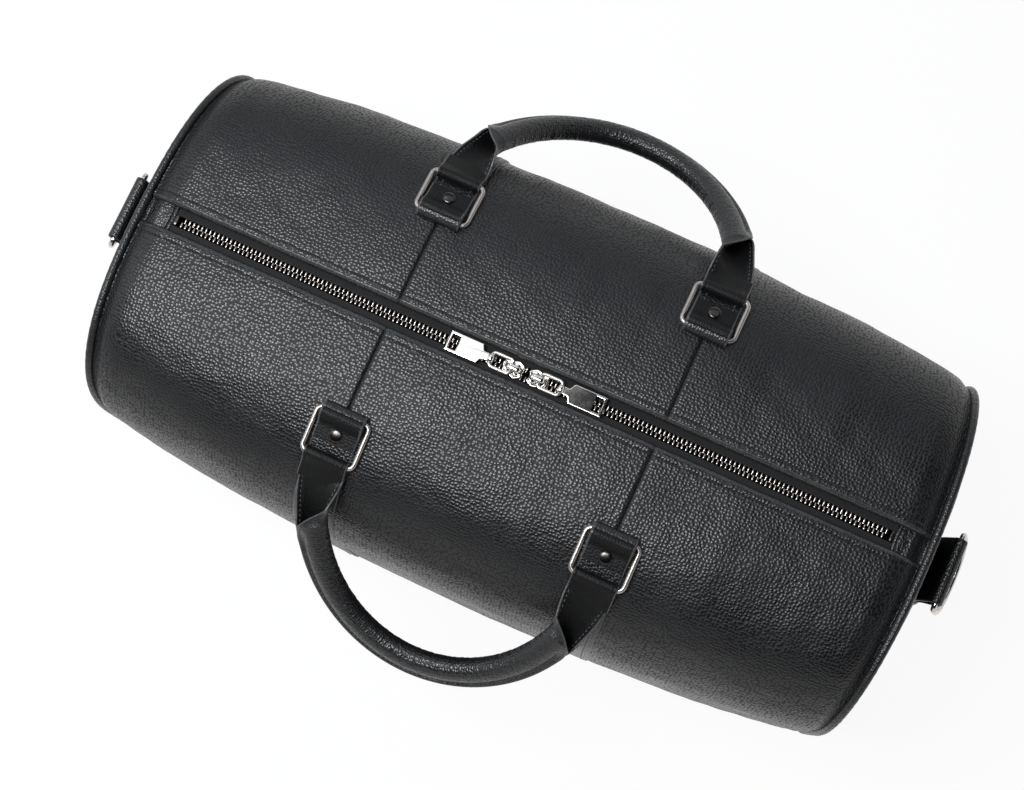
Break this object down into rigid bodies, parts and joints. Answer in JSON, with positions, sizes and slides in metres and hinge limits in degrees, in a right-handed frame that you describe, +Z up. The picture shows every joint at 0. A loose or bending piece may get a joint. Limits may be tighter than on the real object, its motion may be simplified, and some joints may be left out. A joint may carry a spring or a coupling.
{
  "type": "travel bag",
  "caption": "Leather travel bag with a zipped top, rolled handles on rectangular rings, piped ends and D-rings on end tabs.",
  "frame": {"origin": "middle of the bag in plan, on the plane that the four feet stand on", "axes": "+X along the zip towards the right end, +Y towards the back, +Z up"},
  "size_m": [0.5528, 0.3634, 0.2399],
  "materials": {
    "back_centre_panel": "black full-grain leather with a pebbled grain",
    "back_left_panel": "black full-grain leather with a pebbled grain",
    "back_right_panel": "black full-grain leather with a pebbled grain",
    "base_board": "stiff pressed board",
    "base_panel": "black full-grain leather with a pebbled grain",
    "d_ring_left": "polished dark nickel plate",
    "d_ring_right": "polished dark nickel plate",
    "d_ring_tab_left": "black grained leather with sewn edges",
    "d_ring_tab_right": "black grained leather with sewn edges",
    "end_panel_left": "black full-grain leather with a pebbled grain",
    "end_panel_right": "black full-grain leather with a pebbled grain",
    "foot_back_left": "polished dark nickel plate",
    "foot_back_right": "polished dark nickel plate",
    "foot_front_left": "polished dark nickel plate",
    "foot_front_right": "polished dark nickel plate",
    "front_centre_panel": "black full-grain leather with a pebbled grain",
    "front_left_panel": "black full-grain leather with a pebbled grain",
    "front_right_panel": "black full-grain leather with a pebbled grain",
    "handle_back": "black grained leather with sewn edges",
    "handle_core_back": "twisted cotton cord",
    "handle_core_front": "twisted cotton cord",
    "handle_front": "black grained leather with sewn edges",
    "lining": "plain black cloth",
    "piping_left": "black full-grain leather with a pebbled grain",
    "piping_right": "black full-grain leather with a pebbled grain",
    "pull_link_left": "polished nickel-plated metal",
    "pull_link_right": "polished nickel-plated metal",
    "pull_plate_left": "polished nickel-plated metal",
    "pull_plate_right": "polished nickel-plated metal",
    "ring_back_left": "polished dark nickel plate",
    "ring_back_right": "polished dark nickel plate",
    "ring_front_left": "polished dark nickel plate",
    "ring_front_right": "polished dark nickel plate",
    "ring_strap_back_left": "black grained leather with sewn edges",
    "ring_strap_back_right": "black grained leather with sewn edges",
    "ring_strap_front_left": "black grained leather with sewn edges",
    "ring_strap_front_right": "black grained leather with sewn edges",
    "slider_left": "polished nickel-plated metal",
    "slider_right": "polished nickel-plated metal",
    "strap_rivet_back_left": "polished dark nickel plate",
    "strap_rivet_back_right": "polished dark nickel plate",
    "strap_rivet_front_left": "polished dark nickel plate",
    "strap_rivet_front_right": "polished dark nickel plate",
    "zip_end_patch_left": "black full-grain leather with a pebbled grain",
    "zip_end_patch_right": "black full-grain leather with a pebbled grain",
    "zip_stop_left": "polished nickel-plated metal",
    "zip_stop_right": "polished nickel-plated metal",
    "zip_tape_back": "black woven zip tape",
    "zip_tape_front": "black woven zip tape",
    "zip_teeth_back": "polished nickel-plated metal",
    "zip_teeth_front": "polished nickel-plated metal"
  },
  "bodies": {
    "bag_body": {"back_centre_panel": "back_centre_panel", "back_left_panel": "back_left_panel", "back_right_panel": "back_right_panel", "base_board": "base_board", "base_panel": "base_panel", "d_ring_tab_left": "d_ring_tab_left", "d_ring_tab_right": "d_ring_tab_right", "end_panel_left": "end_panel_left", "end_panel_right": "end_panel_right", "foot_back_left": "foot_back_left", "foot_back_right": "foot_back_right", "foot_front_left": "foot_front_left", "foot_front_right": "foot_front_right", "front_centre_panel": "front_centre_panel", "front_left_panel": "front_left_panel", "front_right_panel": "front_right_panel", "lining": "lining", "piping_left": "piping_left", "piping_right": "piping_right", "ring_strap_back_left": "ring_strap_back_left", "ring_strap_back_right": "ring_strap_back_right", "ring_strap_front_left": "ring_strap_front_left", "ring_strap_front_right": "ring_strap_front_right", "strap_rivet_back_left": "strap_rivet_back_left", "strap_rivet_back_right": "strap_rivet_back_right", "strap_rivet_front_left": "strap_rivet_front_left", "strap_rivet_front_right": "strap_rivet_front_right", "zip_end_patch_left": "zip_end_patch_left", "zip_end_patch_right": "zip_end_patch_right", "zip_stop_left": "zip_stop_left", "zip_stop_right": "zip_stop_right", "zip_tape_back": "zip_tape_back", "zip_tape_front": "zip_tape_front", "zip_teeth_back": "zip_teeth_back", "zip_teeth_front": "zip_teeth_front"},
    "slider_left_body": {"slider_left": "slider_left"},
    "pull_link_left_body": {"pull_link_left": "pull_link_left"},
    "pull_plate_left_body": {"pull_plate_left": "pull_plate_left"},
    "d_ring_left_body": {"d_ring_left": "d_ring_left"},
    "slider_right_body": {"slider_right": "slider_right"},
    "pull_link_right_body": {"pull_link_right": "pull_link_right"},
    "pull_plate_right_body": {"pull_plate_right": "pull_plate_right"},
    "d_ring_right_body": {"d_ring_right": "d_ring_right"},
    "ring_front_left_body": {"ring_front_left": "ring_front_left"},
    "ring_front_right_body": {"ring_front_right": "ring_front_right"},
    "handle_front_body": {"handle_front": "handle_front", "handle_core_front": "handle_core_front"},
    "ring_back_left_body": {"ring_back_left": "ring_back_left"},
    "ring_back_right_body": {"ring_back_right": "ring_back_right"},
    "handle_back_body": {"handle_back": "handle_back", "handle_core_back": "handle_core_back"}
  },
  "joints": [
    {"name": "slider_left_slide", "type": "slide", "parent": "bag_body", "child": "slider_left_body", "axis": [-1, 0, 0], "range_m": [0, 0.209], "deforming": ["zip_teeth_front", "zip_teeth_back"]},
    {"name": "pull_link_left_hinge", "type": "hinge", "parent": "slider_left_body", "child": "pull_link_left_body", "pos_m": [-0.0089, 0, 0.2362], "axis": [0, 1, 0], "range_deg": [0, 70]},
    {"name": "pull_plate_left_hinge", "type": "hinge", "parent": "pull_link_left_body", "child": "pull_plate_left_body", "pos_m": [-0.0219, 0, 0.2362], "axis": [0, 1, 0], "range_deg": [0, 40]},
    {"name": "d_ring_left_hinge", "type": "hinge", "parent": "bag_body", "child": "d_ring_left_body", "pos_m": [-0.266, 0, 0.199], "axis": [0, 1, 0], "range_deg": [0, 150]},
    {"name": "slider_right_slide", "type": "slide", "parent": "bag_body", "child": "slider_right_body", "axis": [1, 0, 0], "range_m": [0, 0.209], "deforming": ["zip_teeth_front", "zip_teeth_back"]},
    {"name": "pull_link_right_hinge", "type": "hinge", "parent": "slider_right_body", "child": "pull_link_right_body", "pos_m": [0.0089, 0, 0.2362], "axis": [0, -1, 0], "range_deg": [0, 70]},
    {"name": "pull_plate_right_hinge", "type": "hinge", "parent": "pull_link_right_body", "child": "pull_plate_right_body", "pos_m": [0.0219, 0, 0.2362], "axis": [0, -1, 0], "range_deg": [0, 40]},
    {"name": "d_ring_right_hinge", "type": "hinge", "parent": "bag_body", "child": "d_ring_right_body", "pos_m": [0.266, 0, 0.199], "axis": [0, -1, 0], "range_deg": [0, 150]},
    {"name": "ring_front_left_hinge", "type": "hinge", "parent": "bag_body", "child": "ring_front_left_body", "pos_m": [-0.084, -0.06438, 0.23602], "axis": [-1, 0, 0], "range_deg": [0, 104]},
    {"name": "ring_front_right_hinge", "type": "hinge", "parent": "bag_body", "child": "ring_front_right_body", "pos_m": [0.084, -0.06438, 0.23602], "axis": [-1, 0, 0], "range_deg": [0, 104]},
    {"name": "handle_front_hinge", "type": "hinge", "parent": "ring_front_left_body", "child": "handle_front_body", "pos_m": [-0.084, -0.09075, 0.23018], "axis": [-1, 0, 0], "range_deg": [0, 54]},
    {"name": "ring_back_left_hinge", "type": "hinge", "parent": "bag_body", "child": "ring_back_left_body", "pos_m": [-0.084, 0.06438, 0.23602], "axis": [1, 0, 0], "range_deg": [0, 104]},
    {"name": "ring_back_right_hinge", "type": "hinge", "parent": "bag_body", "child": "ring_back_right_body", "pos_m": [0.084, 0.06438, 0.23602], "axis": [1, 0, 0], "range_deg": [0, 104]},
    {"name": "handle_back_hinge", "type": "hinge", "parent": "ring_back_left_body", "child": "handle_back_body", "pos_m": [-0.084, 0.09075, 0.23018], "axis": [1, 0, 0], "range_deg": [0, 54]}
  ],
  "couplings": [
    {"joint": "ring_front_right_hinge", "follows": "ring_front_left_hinge", "ratio": 1},
    {"joint": "ring_back_right_hinge", "follows": "ring_back_left_hinge", "ratio": 1}
  ]
}
